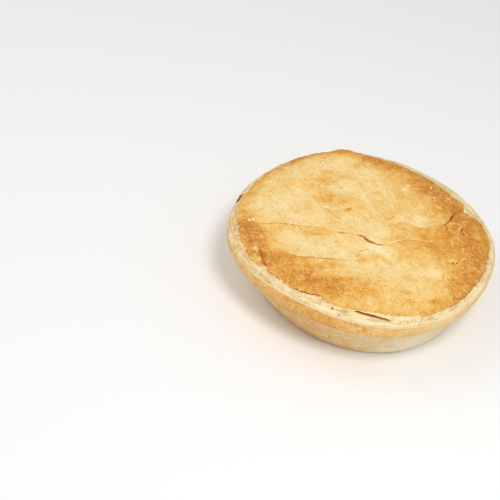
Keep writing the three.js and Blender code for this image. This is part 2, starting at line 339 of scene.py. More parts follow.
# ---- Colours, as seen in even light ----------------------


def tone(red, green, blue):
    """A colour given in display values, 0 to 255, as linear red, green, blue and alpha."""
    def linear(value):
        share = value / 255
        return share / 12.92 if share <= 0.04045 else ((share + 0.055) / 1.055) ** 2.4
    return (linear(red), linear(green), linear(blue), 1.0)


CREAM = tone(250, 232, 182)
PALE_GOLD = tone(246, 216, 152)
GOLD = tone(240, 198, 119)
AMBER = tone(231, 172, 80)
TOASTED = tone(216, 143, 38)
DEEP_BROWN = tone(197, 116, 24)
LIGHT_FLAKE = tone(248, 213, 138)
# The three darkest browns draw burnt and cracked pastry, and also painted shade in the creases, the slits,
# the lifted slot, the crumble gap and under the flap.
CRACK_AND_SHADE_BROWN = tone(176, 104, 36)
SCORCHED_AND_SHADE_BROWN = tone(148, 80, 24)
BURNT_AND_SHADOW_DARK = tone(78, 34, 10)
CRUMB = tone(248, 227, 174)
CRUMB_PALE = tone(249, 233, 197)
CRUMB_SHADE = tone(216, 178, 122)
BAND_PALE = tone(241, 214, 162)
BAND_GOLD = tone(237, 192, 120)
BAND_TOAST = tone(216, 149, 64)
WALL_PALE = tone(243, 231, 201)
WALL_TAN = tone(233, 195, 135)
WALL_TOAST = tone(212, 159, 89)
BASE_BROWN = tone(202, 152, 92)
FLOOR_WHITE = tone(247, 247, 246)

# How glossy and how rough things are, how deep the bump of each finish is, and how fine the facets are.
PASTRY_SHINE = 0.1
FLOOR_ROUGHNESS = 0.9
LID_BUMP = 0.25
CASE_BUMP = 0.35
FACETS_PER_METRE = 130.0

# ---- Geometry helpers ------------------------------------


def bell(angle, towards, half_width):
    """Bell-shaped weight of an angle, in radians, about a direction in degrees."""
    turn = angle - math.radians(towards)
    away = np.arctan2(np.sin(turn), np.cos(turn)) / math.radians(half_width)
    return np.exp(-away * away)


def bells(angle, table):
    """The sum of the bells of a (direction, half width, amount) table."""
    return sum(amount * bell(angle, towards, half_width) for towards, half_width, amount in table)


def smooth(value, low, high):
    """0 at low, 1 at high, smooth between."""
    share = np.clip((value - low) / (high - low), 0.0, 1.0)
    return share * share * (3 - 2 * share)


def interpolated(table, x):
    """The columns of a table of (x, value, ...) rows at x."""
    places, *columns = (np.array(column, float) for column in zip(*table))
    values = [np.interp(x, places, column) for column in columns]
    return values[0] if len(values) == 1 else values


def ring_points(ring, angle, inset=0.0):
    lobed = sum(
        swell * np.cos(count * (angle - math.radians(towards))) for count, swell, towards in ring.lobes
    )
    radius = ring.radius + lobed - bells(angle, ring.dents) - inset
    along_x, along_y = np.cos(angle), np.sin(angle)
    height = ring.height + ring.rise[0] * along_x + ring.rise[1] * along_y
    return np.stack([ring.centre[0] + radius * along_x, ring.centre[1] + radius * along_y, height], -1)


def pushed_out(points, angle, outward):
    """The points moved away from the axis by so many millimetres."""
    return points + np.stack([outward * np.cos(angle), outward * np.sin(angle), np.zeros_like(angle)], -1)


def between(lower, upper, angle, share, bulge=0.0):
    """The points that lie between two rings, this share of the way up, bulging out half way."""
    points = ring_points(lower, angle) * (1 - share)[:, None] + ring_points(upper, angle) * share[:, None]
    return pushed_out(points, angle, bulge * 4 * share * (1 - share))


# Random gradients, and the large primes that pick one of them for each corner of a grid.
GRADIENTS = np.random.default_rng(11).normal(size=(4093, 3))
GRADIENTS /= np.linalg.norm(GRADIENTS, axis=1, keepdims=True)
HASH_PRIMES = (73856093, 19349663, 83492791, 265443577)
CLOUD_GAIN = 1.6


def cloud(points, seed):
    """Smooth noise about zero, within about -1 to 1, with features of about unit size."""
    cell = np.floor(points).astype(np.int64)
    offset = points - cell
    ease = offset ** 3 * (offset * (offset * 6 - 15) + 10)
    total = np.zeros(len(points))
    for corner in map(np.array, np.ndindex(2, 2, 2)):
        key = seed * HASH_PRIMES[3]
        for axis in range(3):
            key = key ^ ((cell[:, axis] + corner[axis]) * HASH_PRIMES[axis])
        weight = np.prod(np.where(corner, ease, 1 - ease), axis=1)
        total += weight * ((offset - corner) * GRADIENTS[key % len(GRADIENTS)]).sum(axis=1)
    return total * CLOUD_GAIN


def grain(points, wavelength, seed, octaves=3):
    """Cloudy noise about zero with ever finer detail, from so many millimetres down."""
    return sum(cloud(points * (2 ** i / wavelength), seed * 10 + i) / 2 ** i for i in range(octaves))


def uneven(points, noises):
    """The sum of (height, wavelength, seed, octaves) noises."""
    return sum(height * grain(points, *noise) for height, *noise in noises)


def plan(points):
    """The points without their height, for patterns that run over the plan."""
    return points * np.array([1.0, 1.0, 0.0])


def distance_to_line(corners, x, y):
    away = np.full(len(x), np.inf)
    for (ax, ay), (bx, by) in zip(corners, corners[1:]):
        reached = (x - ax) * (bx - ax) + (y - ay) * (by - ay)
        share = np.clip(reached / ((bx - ax) ** 2 + (by - ay) ** 2), 0, 1)
        away = np.minimum(away, np.hypot(x - ax - share * (bx - ax), y - ay - share * (by - ay)))
    return away


def across(line, x, y):
    """Signed distance behind a line of (x, y, step) points, and the step there."""
    xs, ys, steps = (np.array(column, float) for column in zip(*line))
    side = np.sign(y - np.interp(x, xs, ys))
    return side * distance_to_line(list(zip(xs, ys)), x, y), np.interp(x, xs, steps)


def inside(outline, x, y):
    """Distance in from a closed outline, negative outside it."""
    within = np.zeros(len(x), bool)
    for (ax, ay), (bx, by) in zip(outline, outline[1:] + outline[:1]):
        crosses = (ay > y) != (by > y)
        with np.errstate(divide="ignore", invalid="ignore"):
            within ^= crosses & (x < ax + (y - ay) * (bx - ax) / (by - ay))
    away = distance_to_line(outline + outline[:1], x, y)
    return np.where(within, away, -away)


def placed(patches, x, y):
    """The sum of bell-shaped patches: x, y, long reach, short reach, turn in degrees, amount."""
    total = np.zeros_like(x)
    for px, py, long_reach, short_reach, turn, amount in patches:
        cos, sin = math.cos(math.radians(turn)), math.sin(math.radians(turn))
        lengthwise = ((x - px) * cos + (y - py) * sin) / long_reach
        crosswise = ((y - py) * cos - (x - px) * sin) / short_reach
        total += amount * np.exp(-lengthwise * lengthwise - crosswise * crosswise)
    return total


def level_leaves(values, edge=0.2):
    """Values cut into level leaves, one for each whole number, with a steep edge between them."""
    base = np.floor(values)
    return base + smooth(values - base, 1 - edge, 1.0)


def spun(name, stations, steps, place):
    """A closed mesh spun from a profile of (zone, share) stations that starts and ends on the axis.

    place(zone, angle, share) gives the points of one zone. Returns the object and, for each vertex, its point
    of the plain form, its zone's name, its share and its angle.
    """
    zones = sorted({zone for zone, share in stations})
    shape = bmesh.new()
    zone_layer = shape.verts.layers.int.new("zone")
    share_layer = shape.verts.layers.float.new("share")
    profile = []
    for number, (zone, share) in enumerate(stations):
        x, y, z = place(zone, np.zeros(1), np.array([share]))[0]
        on_axis = number in (0, len(stations) - 1)
        vert = shape.verts.new((0.0 if on_axis else math.hypot(x, y), 0.0, z))
        vert[zone_layer], vert[share_layer] = zones.index(zone), share
        profile.append(vert)
    rails = [shape.edges.new(pair) for pair in zip(profile, profile[1:])]
    bmesh.ops.spin(
        shape, geom=profile + rails, cent=(0, 0, 0), axis=(0, 0, 1), dvec=(0, 0, 0), angle=2 * math.pi,
        steps=steps // RING_CUTS, use_merge=True, use_normal_flip=False, use_duplicate=False,
    )
    bmesh.ops.remove_doubles(shape, verts=shape.verts, dist=MERGE_DISTANCE)
    rings = [
        edge for edge in shape.edges
        if len({(vert[zone_layer], vert[share_layer]) for vert in edge.verts}) == 1
    ]
    bmesh.ops.subdivide_edges(shape, edges=rings, cuts=RING_CUTS - 1, use_grid_fill=True)
    mesh = bpy.data.meshes.new(name)
    shape.to_mesh(mesh)
    shape.free()
    piece = bpy.data.objects.new(name, mesh)
    bpy.context.scene.collection.objects.link(piece)
    count = len(mesh.vertices)
    spots, number, share = np.zeros(count * 3), np.zeros(count, int), np.zeros(count)
    mesh.vertices.foreach_get("co", spots)
    mesh.attributes["zone"].data.foreach_get("value", number)
    mesh.attributes["share"].data.foreach_get("value", share)
    for used in ("zone", "share"):
        mesh.attributes.remove(mesh.attributes[used])
    angle = np.arctan2(spots[1::3], spots[0::3])
    zone = np.array(zones)[number]
    points = np.zeros((count, 3))
    for each in zones:
        here = zone == each
        points[here] = place(each, angle[here], share[here])
    return piece, points, zone, share, angle


def settle(piece, points, **fields):
    """Gives the piece its points, kept inside the frame's box, smooth outward faces and its named fields."""
    mesh = piece.data
    low, high = (np.array(corner) for corner in cad_box)
    metres = (points + np.array([*RIM_CENTRE, 0.0])) * MM
    mesh.vertices.foreach_set("co", np.clip(metres, low, high).ravel())
    for name, values in fields.items():
        field = mesh.attributes.new(name, "FLOAT", "POINT")
        field.data.foreach_set("value", np.asarray(values, np.float32))
    shape = bmesh.new()
    shape.from_mesh(mesh)
    bmesh.ops.recalc_face_normals(shape, faces=shape.faces)
    for face in shape.faces:
        face.smooth = True
    shape.to_mesh(mesh)
    shape.free()
    mesh.update()


def pricked(points):
    """How dark the pin holes make each point."""
    dark = np.zeros(len(points))
    for x, y, z, radius, darkness in PIN_HOLES:
        away = np.linalg.norm((points - np.array([x, y, z])) * np.array(HOLE_SCALE), axis=1) / radius
        dark = np.maximum(dark, darkness * np.exp(-away * away))
    return dark


def run(zone, count, start=0.0, end=1.0):
    """Stations of one zone, evenly spaced, without the last one."""
    return [(zone, start + (end - start) * i / count) for i in range(count)]


# ---- Case ------------------------------------------------

CASE_STATIONS = (
    run("underside", 14) + run("corner", 6) + run("wall", 40) + run("low_band", 18) + run("high_band", 9)
    + [("seat", 0.0), ("seat", 0.05), ("seat", 0.5), ("seat", 1.0)]
)


def seat_points(angle, share):
    """The case's top, under the lid."""
    seam = ring_points(SEAM, angle)
    height = SEAM.height * (1 - share) + seam[:, 2] * share + SEAT_RISE * (1 - share * share)
    return np.stack([seam[:, 0] * share, seam[:, 1] * share, height], -1)


def case_place(zone, angle, share):
    """The case's plain form: its flat underside, rounded foot, wall, rim band in two halves, and seat."""
    if zone == "underside":
        flat = ring_points(FOOT, angle, FOOT_CORNER)
        middle = np.array([*FOOT.centre, 0.0])
        return middle + (flat - middle) * share[:, None]
    if zone == "corner":
        turn = share * math.pi / 2
        flat = ring_points(FOOT, angle, FOOT_CORNER * (1 - np.sin(turn)))
        flat[:, 2] = FOOT_CORNER * (1 - np.cos(turn))
        lean = between(FOOT, WALL_TOP, angle, np.full_like(angle, FOOT_CORNER / WALL_TOP.height))
        return flat + (lean - ring_points(FOOT, angle) - np.array([0, 0, FOOT_CORNER])) * share[:, None]
    if zone == "wall":
        start = FOOT_CORNER / WALL_TOP.height
        belly = WALL_BELLY * smooth(share, 0.0, 0.2)
        return between(FOOT, WALL_TOP, angle, start + (1 - start) * share, belly)
    if zone == "low_band":
        part = share[:, None]
        low, turn, high = (ring_points(ring, angle) for ring in (WALL_TOP, BAND_UNDER, BAND_WIDEST))
        return low * (1 - part) ** 2 + turn * 2 * part * (1 - part) + high * part ** 2
    if zone == "high_band":
        return between(BAND_WIDEST, SEAM, angle, share, BAND_ROUNDING)
    return seat_points(angle, 1 - share)


def make_case():
    piece, points, zone, share, angle = spun("pastry_case", CASE_STATIONS, CASE_STEPS, case_place)
    wall = np.isin(zone, ["wall", "corner"])
    band = np.isin(zone, ["low_band", "high_band"])
    hold = np.select(
        [zone == "corner", zone == "low_band", zone == "high_band"],
        [share, smooth(share, 0.0, 0.3), 1 - smooth(share, 0.8, 1.0)], 1.0,
    )
    rough = np.zeros(len(angle))
    rough[wall] = uneven(points[wall], WALL_ROUGHNESS)
    rough[band] = uneven(points[band], BAND_ROUGHNESS) - BAND_SINK
    dark = pricked(points)
    points = pushed_out(points, angle, (rough - HOLE_DEPTH_IN_SIDE * dark * band) * hold)

    # Darker or lighter by side: partly baking, partly painted shade, darker at the left.
    wall_toast_and_shade = WALL_BAKE + bells(angle, WALL_BAKE_AND_SHADE_SIDES)
    band_toast_and_shade = BAND_BAKE + bells(angle, BAND_BAKE_AND_SHADE_SIDES)
    # Which part of the case a point is on: 0 underside, 1 wall, and from 1 over 2.5 to 3 up the rim band.
    part = np.select(
        [zone == "underside", wall, zone == "low_band", zone == "high_band"],
        [0.0, 1.0, 1.0 + 1.5 * share, 2.5 + 0.5 * share], 3.0,
    )
    settle(piece, points, part=part, toast=np.where(band, band_toast_and_shade, wall_toast_and_shade), dark=dark)
    return piece


# ---- Lid -------------------------------------------------

LID_STATIONS = (
    run("underside", 3, 0.0, 0.98) + [("underside", 0.985)] + run("cut_edge", 26)
    + run("top", 30, 0.0, 0.14) + run("top", 106, 0.14, 1.0) + [("top", 1.0)]
)


def lid_place(zone, angle, share):
    """The lid's plain form: its underside, its slanted cut edge, and the plan of its top at edge height."""
    if zone == "underside":
        points = seat_points(angle, share)
        points[:, 2] += SEAM_GAP
        return points
    edge = ring_points(LID_EDGE, angle)
    if zone == "cut_edge":
        low = ring_points(SEAM, angle, SEAM_GAP)
        low[:, 2] += SEAM_GAP
        return low * (1 - share)[:, None] + edge * share[:, None]
    height = LID_EDGE.height * share + edge[:, 2] * (1 - share)
    return np.stack([edge[:, 0] * (1 - share), edge[:, 1] * (1 - share), height], -1)


def domed(x, y, share):
    """The height of the crown and the swellings over the lid's edge."""
    crown = CROWN + CROWN_REAR_GAIN * y / LID_EDGE.radius
    swells = sum(
        height * np.exp(-((x - sx) ** 2 + (y - sy) ** 2) / spread ** 2) for sx, sy, spread, height in SWELLS
    )
    return (crown + swells) * (1 - np.power(1 - share, SHOULDER_POWER))


def creased(x, y, ragged):
    """The relief of each crease, and the fields of its finish: distance behind it, mark and tone."""
    steps, fields = [], {"flap_mark": interpolated(FLAP_MARKS, x)}
    for name, crease in CREASES.items():
        stray = crease.raggedness * ragged
        if crease is FOLD:
            stray = stray * smooth(np.abs(x - SLIT_MIDDLE), *SLIT_CLEAN_CUT)
        away, step = across(crease.line, x, y + stray)
        steps.append(0.5 * step * np.tanh(away / crease.softness) * np.exp(-np.abs(away) / crease.reach))
        fields[name] = away
        fields[name + "_mark"] = interpolated(crease.marks, x)
        if crease.tones:
            amount, reach = interpolated(crease.tones, x)
            fields[name + "_tone"] = amount * np.exp(-np.abs(away) / reach)
    return steps, fields


def broken_blister(x, y, ragged):
    """The height of the blister's raised skin, how far in from its outline a point is, and its dark edge."""
    chip = inside(CHIP, x + ragged, y + 0.5 * ragged)
    raised = CHIP_RISE * smooth(chip, -0.3, 0.3) * (1 - 0.7 * smooth(chip, 0.3, 1.4))
    around_chip = np.arctan2(y - CHIP_MIDDLE[1], x - CHIP_MIDDLE[0])
    return raised, chip, bells(around_chip, CHIP_MARKS)


def lid_skin(points, share, skin):
    """The height of the lid's skin over its plain form, and the fields of its finish."""
    x, y = points[:, 0], points[:, 1]
    flat = plan(points)
    ragged = RAGGEDNESS * grain(flat, 4, seed=21)
    steps, fields = creased(x, y, ragged)
    raised, chip, chip_mark = broken_blister(x, y, ragged)

    # The borders of the browned places are ragged, and what is well browned is flaky.
    smear_x, smear_y = (BORDER_SMEAR * grain(flat, 6, seed, octaves=4) for seed in (37, 38))
    bake = BROWNING_FLOOR + BROWNING_GAIN * placed(BROWNING, x + smear_x, y + smear_y)
    flaky = FLAKY_FLOOR + (1 - FLAKY_FLOOR) * smooth(bake, 0.25, 0.6)
    torn = placed(TORN, x, y)

    # Leaves of the flaky skin: ragged level steps, deepest where the lid is well browned.
    warp_x, warp_y = (LEAF_WARP * grain(flat, 11, seed, octaves=2) for seed in (22, 23))
    warp = np.stack([warp_x, warp_y, np.zeros_like(x)], -1)
    leaf = grain((flat + warp) * np.array(LEAF_STRETCH), 15, seed=24)
    leaf = LEAF_COUNT * (leaf + 0.10 * grain(flat, 1.8, seed=25, octaves=2))
    blister = grain(flat + warp, 6, seed=26)
    wrinkle_away = grain(flat + 1.6 * warp, 12, seed=35) / WRINKLE_WIDTH
    wrinkle = np.exp(-wrinkle_away ** 2) * smooth(grain(flat, 9, seed=36, octaves=2), -0.1, 0.3)
    fine = (
        BUCKLE_HEIGHT * grain(flat, 17, seed=31, octaves=2)
        + LEAF_HEIGHT * flaky * level_leaves(leaf)
        + BLISTER_HEIGHT * flaky * blister
        + BUBBLE_HEIGHT * grain(flat, 2.6, seed=33)
        + TORN_HEIGHT * torn * grain(flat, 2.4, seed=28)
        + WRINKLE_HEIGHT * wrinkle
    )

    crumble = inside(CRUMBLE, x + 2 * ragged, y)
    crumbs = smooth(crumble, -0.4, 0.5) * (0.4 + 1.6 * grain(flat, 2.6, seed=27, octaves=2))
    gap_away = distance_to_line(CRUMBLE_GAP, x + ragged, y)
    gap = np.exp(-(gap_away / CRUMBLE_GAP_HALF_WIDTH) ** 2)
    slit = interpolated(SLIT, x) * np.exp(-(fields["fold"] / SLIT_HALF_WIDTH) ** 2)

    height = sum(steps, domed(x, y, share))
    height = height + fine * smooth(share, 0, 0.06) + raised + CRUMBLE_RISE * crumbs
    height = height - CRUMBLE_GAP_DEPTH * gap - slit

    # The skin is browner at the rim and on blisters, darker beside the gap with painted shade, and pale at
    # crumbs, raised skin and flour.
    rim_amount, rim_reach = RIM_BROWNING
    gap_half_width, gap_amount = CRUMBLE_GAP_SHADE
    bake = bake + rim_amount * np.exp(-np.maximum(skin, 0) / rim_reach) + BLISTER_BROWNING * blister * flaky
    bake = bake + gap_amount * np.exp(-(gap_away / gap_half_width) ** 2)
    pale = 1.1 * smooth(crumble, -0.4, 0.4) * smooth(crumbs, 0.2, 0.6)
    pale += 0.45 * np.exp(-((chip - 0.5) / 0.6) ** 2)
    for fx, fy in FLOUR:
        pale += FLOUR_PALENESS * np.exp(-((x - fx) ** 2 + (y - fy) ** 2) / FLOUR_SPREAD)
    fields.update(
        bake=bake, flaky=flaky, torn=torn, leaf=leaf, wrinkle=wrinkle, pale=pale,
        chip=chip, chip_mark=chip_mark,
    )
    return height, gap, fields


def cut_leaves(around, share, angle):
    """How far the leaves of the cut edge stand out, and where the upper ones have lifted off a slot."""
    strata = np.stack([around[:, 0], around[:, 1], share * STRATA_SPAN], -1)
    squashed = strata * np.array([1, 1, 0.6])
    layers = 0.30 * grain(strata, 14, seed=41) + 0.12 * grain(squashed, 3, seed=42, octaves=2)
    layers = layers * (smooth(share, 0.0, 0.08) * (1 - smooth(share, 0.94, 1.0)))
    turn = angle - math.radians(LIFT_DIRECTION)
    turn = np.degrees(np.arctan2(np.sin(turn), np.cos(turn)))
    level = (share - LIFT_LEVEL - LIFT_SLOPE * turn) / LIFT_HALF_HEIGHT
    return layers, smooth(LIFT_HALF_WIDTH - np.abs(turn), 0.0, 1.8) * np.exp(-level * level)


def make_lid():
    piece, points, zone, share, angle = spun("pastry_lid", LID_STATIONS, LID_STEPS, lid_place)
    top, side = zone == "top", zone == "cut_edge"

    # The rim of the lid is ragged: the same wobble moves the browned edge and fades down the cut edge.
    around = np.stack([np.cos(angle), np.sin(angle), np.zeros_like(angle)], -1) * LID_EDGE.radius
    hold = np.where(top, smooth(share, 0.2, 0.0), np.where(side, smooth(share, 0.0, 0.9), 0.0))
    points = pushed_out(points, angle, uneven(around, LID_RIM_WOBBLE) * hold)

    # How far a point is in from the browned edge, or below it on the cut edge.
    edge = np.hypot(*ring_points(LID_EDGE, angle)[:, :2].T)
    skin = np.where(top, share * edge, np.where(side, (share - 1) * CUT_EDGE_BREADTH, -UNDER_CUT_EDGE))

    height, gap, fields = lid_skin(points, share, skin)
    points[:, 2] += height * top
    layers, lift = cut_leaves(around, share, angle)
    lift = lift * side
    dark = pricked(points)
    points = pushed_out(points, angle, (layers - LIFT_DEPTH * lift - HOLE_DEPTH_IN_SIDE * dark) * side)
    points[:, 2] -= HOLE_DEPTH_IN_TOP * dark * top

    fields["pale"] = fields["pale"] * top
    settle(
        # dark holds the pin holes and dried gravy, and painted shade in the crumble gap.
        piece, points, skin=skin, lift=lift, dark=np.maximum(dark, 0.6 * gap * top),
        flap_rim=bell(angle, *FLAP_EDGE), fray=np.clip(bells(angle, FRAYED_AND_SHADED_SIDES), 0, 1),
        rim_mark=bells(angle, RIM_MARKS), **fields,
    )
    return piece


# ---- Finishes --------------------------------------------


class Value:
    """A number or colour that varies over a surface. Arithmetic on it adds Math nodes to its finish."""

    def __init__(self, finish, socket):
        self.finish, self.socket = finish, socket

    def maths(self, operation, *others):
        return self.finish.add("ShaderNodeMath", {"operation": operation}, dict(enumerate((self, *others))))

    def __add__(self, other):
        return self.maths("ADD", other)

    __radd__ = __add__

    def __sub__(self, other):
        return self.maths("SUBTRACT", other)

    def __rsub__(self, other):
        return self.finish.add("ShaderNodeMath", {"operation": "SUBTRACT"}, {0: other, 1: self})

    def __mul__(self, other):
        return self.maths("MULTIPLY", other)

    __rmul__ = __mul__

    def __abs__(self):
        return self.maths("ABSOLUTE")

    def within(self, low, high):
        """0 below low, 1 above high, smooth between."""
        ends = {"Value": self, "From Min": low, "From Max": high}
        return self.finish.add("ShaderNodeMapRange", {"interpolation_type": "SMOOTHSTEP"}, ends)

    def near(self, reach):
        """1 at zero, 0 further from it than reach."""
        return 1 - abs(self).within(0.0, reach)


class Finish:
    """One material: a Principled shader and the nodes that feed it."""

    def __init__(self, name, **constants):
        self.material = bpy.data.materials.new(name)
        self.material.use_nodes = True
        self.tree = self.material.node_tree
        self.shader = self.tree.nodes["Principled BSDF"]
        for socket, value in constants.items():
            self.shader.inputs[socket.replace("_", " ")].default_value = value
        self.place = self.add("ShaderNodeTexCoord", output="Object")

    def add(self, kind, settings=None, inputs=None, output=0):
        """Adds a node, sets it up, and gives one of its outputs."""
        node = self.tree.nodes.new(kind)
        for name, value in (settings or {}).items():
            if name == "stops":
                self.set_stops(node.color_ramp, value)
            else:
                setattr(node, name, value)
        for name, value in (inputs or {}).items():
            if isinstance(value, Value):
                self.tree.links.new(value.socket, node.inputs[name])
            else:
                node.inputs[name].default_value = value
        return Value(self, node.outputs[output])

    @staticmethod
    def set_stops(ramp, stops):
        while len(ramp.elements) < len(stops):
            ramp.elements.new(1.0)
        for element, (position, colour) in zip(ramp.elements, stops):
            element.position, element.color = position, colour

    def field(self, name):
        """What the mesh says of this surface under that name."""
        return self.add("ShaderNodeAttribute", {"attribute_name": name}, output="Fac")

    def stretched(self, x, y, z):
        return self.add("ShaderNodeMapping", None, {"Vector": self.place, "Scale": (x, y, z)})

    def clouds(self, wavelength_mm, detail=3.0, place=None, distortion=0.0, roughness=0.55):
        """Cloudy noise about zero."""
        inputs = {
            "Vector": place or self.place, "Scale": 1000 / wavelength_mm, "Detail": detail,
            "Roughness": roughness, "Distortion": distortion,
        }
        return self.add("ShaderNodeTexNoise", None, inputs) - 0.5

    def warped(self, amount_mm, wavelength_mm):
        """Place pushed about by smooth noise."""
        inputs = {"Vector": self.place, "Scale": 1000 / wavelength_mm, "Detail": 3.0}
        noise = self.add("ShaderNodeTexNoise", None, inputs, output="Color")
        offset = self.add("ShaderNodeVectorMath", {"operation": "SUBTRACT"}, {0: noise, 1: (0.5, 0.5, 0.5)})
        inputs = {0: offset, 1: (amount_mm / 1000,) * 3, 2: self.place}
        return self.add("ShaderNodeVectorMath", {"operation": "MULTIPLY_ADD"}, inputs)

    def net(self, wavelength_mm, place):
        """Distance from the borders of irregular cells, as a share of their size."""
        inputs = {"Vector": place, "Scale": 1000 / wavelength_mm}
        return self.add("ShaderNodeTexVoronoi", {"feature": "DISTANCE_TO_EDGE"}, inputs)

    def facets(self, per_metre, place):
        """A random number about zero for each of many irregular cells."""
        inputs = {"Vector": place, "Scale": per_metre}
        return self.add("ShaderNodeTexVoronoi", None, inputs, output="Color") - 0.5

    def ramp(self, value, *stops):
        return self.add("ShaderNodeValToRGB", {"stops": stops}, {"Fac": value})

    def blend(self, share, first, second):
        """Colour: first where share is 0, second where it is 1."""
        return self.add("ShaderNodeMix", {"data_type": "RGBA"}, {0: share, 6: first, 7: second}, 2)

    def output(self, colour, roughness, height, distance_mm):
        """Feeds the shader its colour, its roughness, and a bump of so many millimetres for a height of 1."""
        self.tree.links.new(colour.socket, self.shader.inputs["Base Color"])
        self.tree.links.new(roughness.socket, self.shader.inputs["Roughness"])
        inputs = {"Height": height, "Distance": distance_mm / 1000, "Strength": 1.0}
        bump = self.add("ShaderNodeBump", None, inputs)
        self.tree.links.new(bump.socket, self.shader.inputs["Normal"])
        return self.material


def crease_tones(finish, fold, bend, ridge):
    """How much darker one side of each crease is: partly browning, partly painted shade on the lower side of
    its step.
    """
    tones = (1 - fold.within(-0.25, 0.15)) * finish.field("fold_tone")
    tones = tones + (1 - bend.within(-0.3, 0.2)) * finish.field("bend_tone")
    return tones + ridge.within(-0.2, 0.4) * finish.field("ridge_tone")


def crease_marks(finish, fold, bend, ridge, lip, chip):
    """How dark the lines of the creases are, partly browning and partly painted shade in them, with the
    flap's painted shadow and the edge of the broken blister.
    """
    marks = fold.near(0.3) * finish.field("fold_mark") + bend.near(0.4) * finish.field("bend_mark")
    marks = marks + (fold + 0.5).near(0.6) * finish.field("flap_mark")
    marks = marks + ridge.near(0.45) * finish.field("ridge_mark")
    marks = marks + lip.near(0.35) * finish.field("lip_mark") * 0.9
    return marks + (chip + 0.2).near(0.45) * finish.field("chip_mark")


def browned_skin(finish, skin, mottle, speckle, jitter):
    """The colour of the lid's top, and the height of its finest leaves and hair lines."""
    fold, bend = finish.field("fold") + jitter * 0.5, finish.field("bend") + jitter * 0.8
    ridge, lip = finish.field("ridge") + jitter * 0.9, finish.field("lip") + jitter * 1.2
    chip = finish.field("chip") + jitter * 0.5
    flaky, torn = finish.field("flaky"), finish.field("torn")
    marks = crease_marks(finish, fold, bend, ridge, lip, chip)

    # Thin leaves, each fading from its shaded foot to its pale torn edge, and pale hair lines between flakes.
    large_leaf = (finish.field("leaf") + jitter * 0.5).maths("FRACT")
    small_leaf = (finish.clouds(7, 5, distortion=1.2, roughness=0.7) * 14).maths("FRACT")
    torn_edges = large_leaf.within(0.90, 0.97) * 0.8 + small_leaf.within(0.88, 0.97) * 0.6
    hairs = finish.net(3.4, finish.warped(6, 4)).near(0.08) * finish.clouds(4).within(-0.04, 0.06)
    hairs = hairs + finish.clouds(8, distortion=2.0).near(0.012) * finish.clouds(4).within(-0.05, 0.1)

    # How brown it is: baked in places, with painted shade beside the crumble gap; beside creases, partly
    # painted shade; in mottles, grains, facets and specks; and wrinkles, with painted highlights on their
    # crests and painted shade on their flanks.
    grainy = speckle * 0.55 + finish.clouds(2.4, 5, distortion=0.9, roughness=0.85) * 0.45
    bake = finish.field("bake") + crease_tones(finish, fold, bend, ridge)
    bake = bake + mottle * 1.2 + grainy * (1.8 - flaky * 1.5) + flaky * 0.06
    bake = bake + finish.facets(FACETS_PER_METRE, finish.warped(9, 6)) * 0.22
    # Wrinkles get painted highlights on their crests and painted shade on their flanks.
    wrinkle = finish.field("wrinkle")
    bake = bake + (wrinkle.within(0.1, 0.4) - wrinkle.within(0.4, 0.9) * 1.8) * 0.28
    bake = bake - finish.field("pale") * (0.6 + speckle * 2)
    bake = bake + (0.5 - small_leaf) * 0.12 + (0.5 - large_leaf) * 0.15
    bake = bake - (lip - 0.6).near(0.5) * finish.field("lip_mark") * 1.1
    bake = bake + finish.clouds(1.3) * 0.7 * torn
    specks = finish.clouds(0.7, 1)
    bake = bake + (specks.within(0.12, 0.2) - (-1 * specks).within(0.12, 0.2)) * 0.18 * flaky
    colour = finish.ramp(
        bake, (0.0, CREAM), (0.2, PALE_GOLD), (0.4, GOLD), (0.6, AMBER), (0.8, TOASTED), (1.0, DEEP_BROWN),
    )
    lighter = (grainy * 3.2 + hairs * 0.55 + torn_edges * 0.3 + 0.10) * flaky
    colour = finish.blend(lighter, colour, LIGHT_FLAKE)

    # Cracks and creases, broken up along their length, darken in three steps, partly browning and partly
    # painted shade in the creases, the slits and under the flap. So does the burnt rim, in two, with painted
    # shade by the flap's edge.
    cracks = finish.clouds(2.6, 2, distortion=1.0).near(0.03) * finish.clouds(2.0, 2).within(0.0, 0.12)
    marks = (marks + cracks * torn * 0.7) * (0.85 + finish.clouds(2.4) * 1.2)
    colour = finish.blend(marks.within(0.05, 0.5), colour, CRACK_AND_SHADE_BROWN)
    colour = finish.blend(marks.within(0.45, 0.9) * 0.8, colour, SCORCHED_AND_SHADE_BROWN)
    colour = finish.blend(marks.within(0.8, 1.1) * 0.7, colour, BURNT_AND_SHADOW_DARK)
    rim_line = (skin - 0.25 + jitter * 0.8).near(0.5) * (0.3 + finish.field("rim_mark"))
    colour = finish.blend(rim_line.within(0.1, 1.0), colour, CRACK_AND_SHADE_BROWN)
    colour = finish.blend(rim_line.within(0.6, 1.2) * 0.8, colour, BURNT_AND_SHADOW_DARK)
    return colour, mottle * 0.6 + speckle * 0.1 + small_leaf * 0.10 + hairs * 0.12


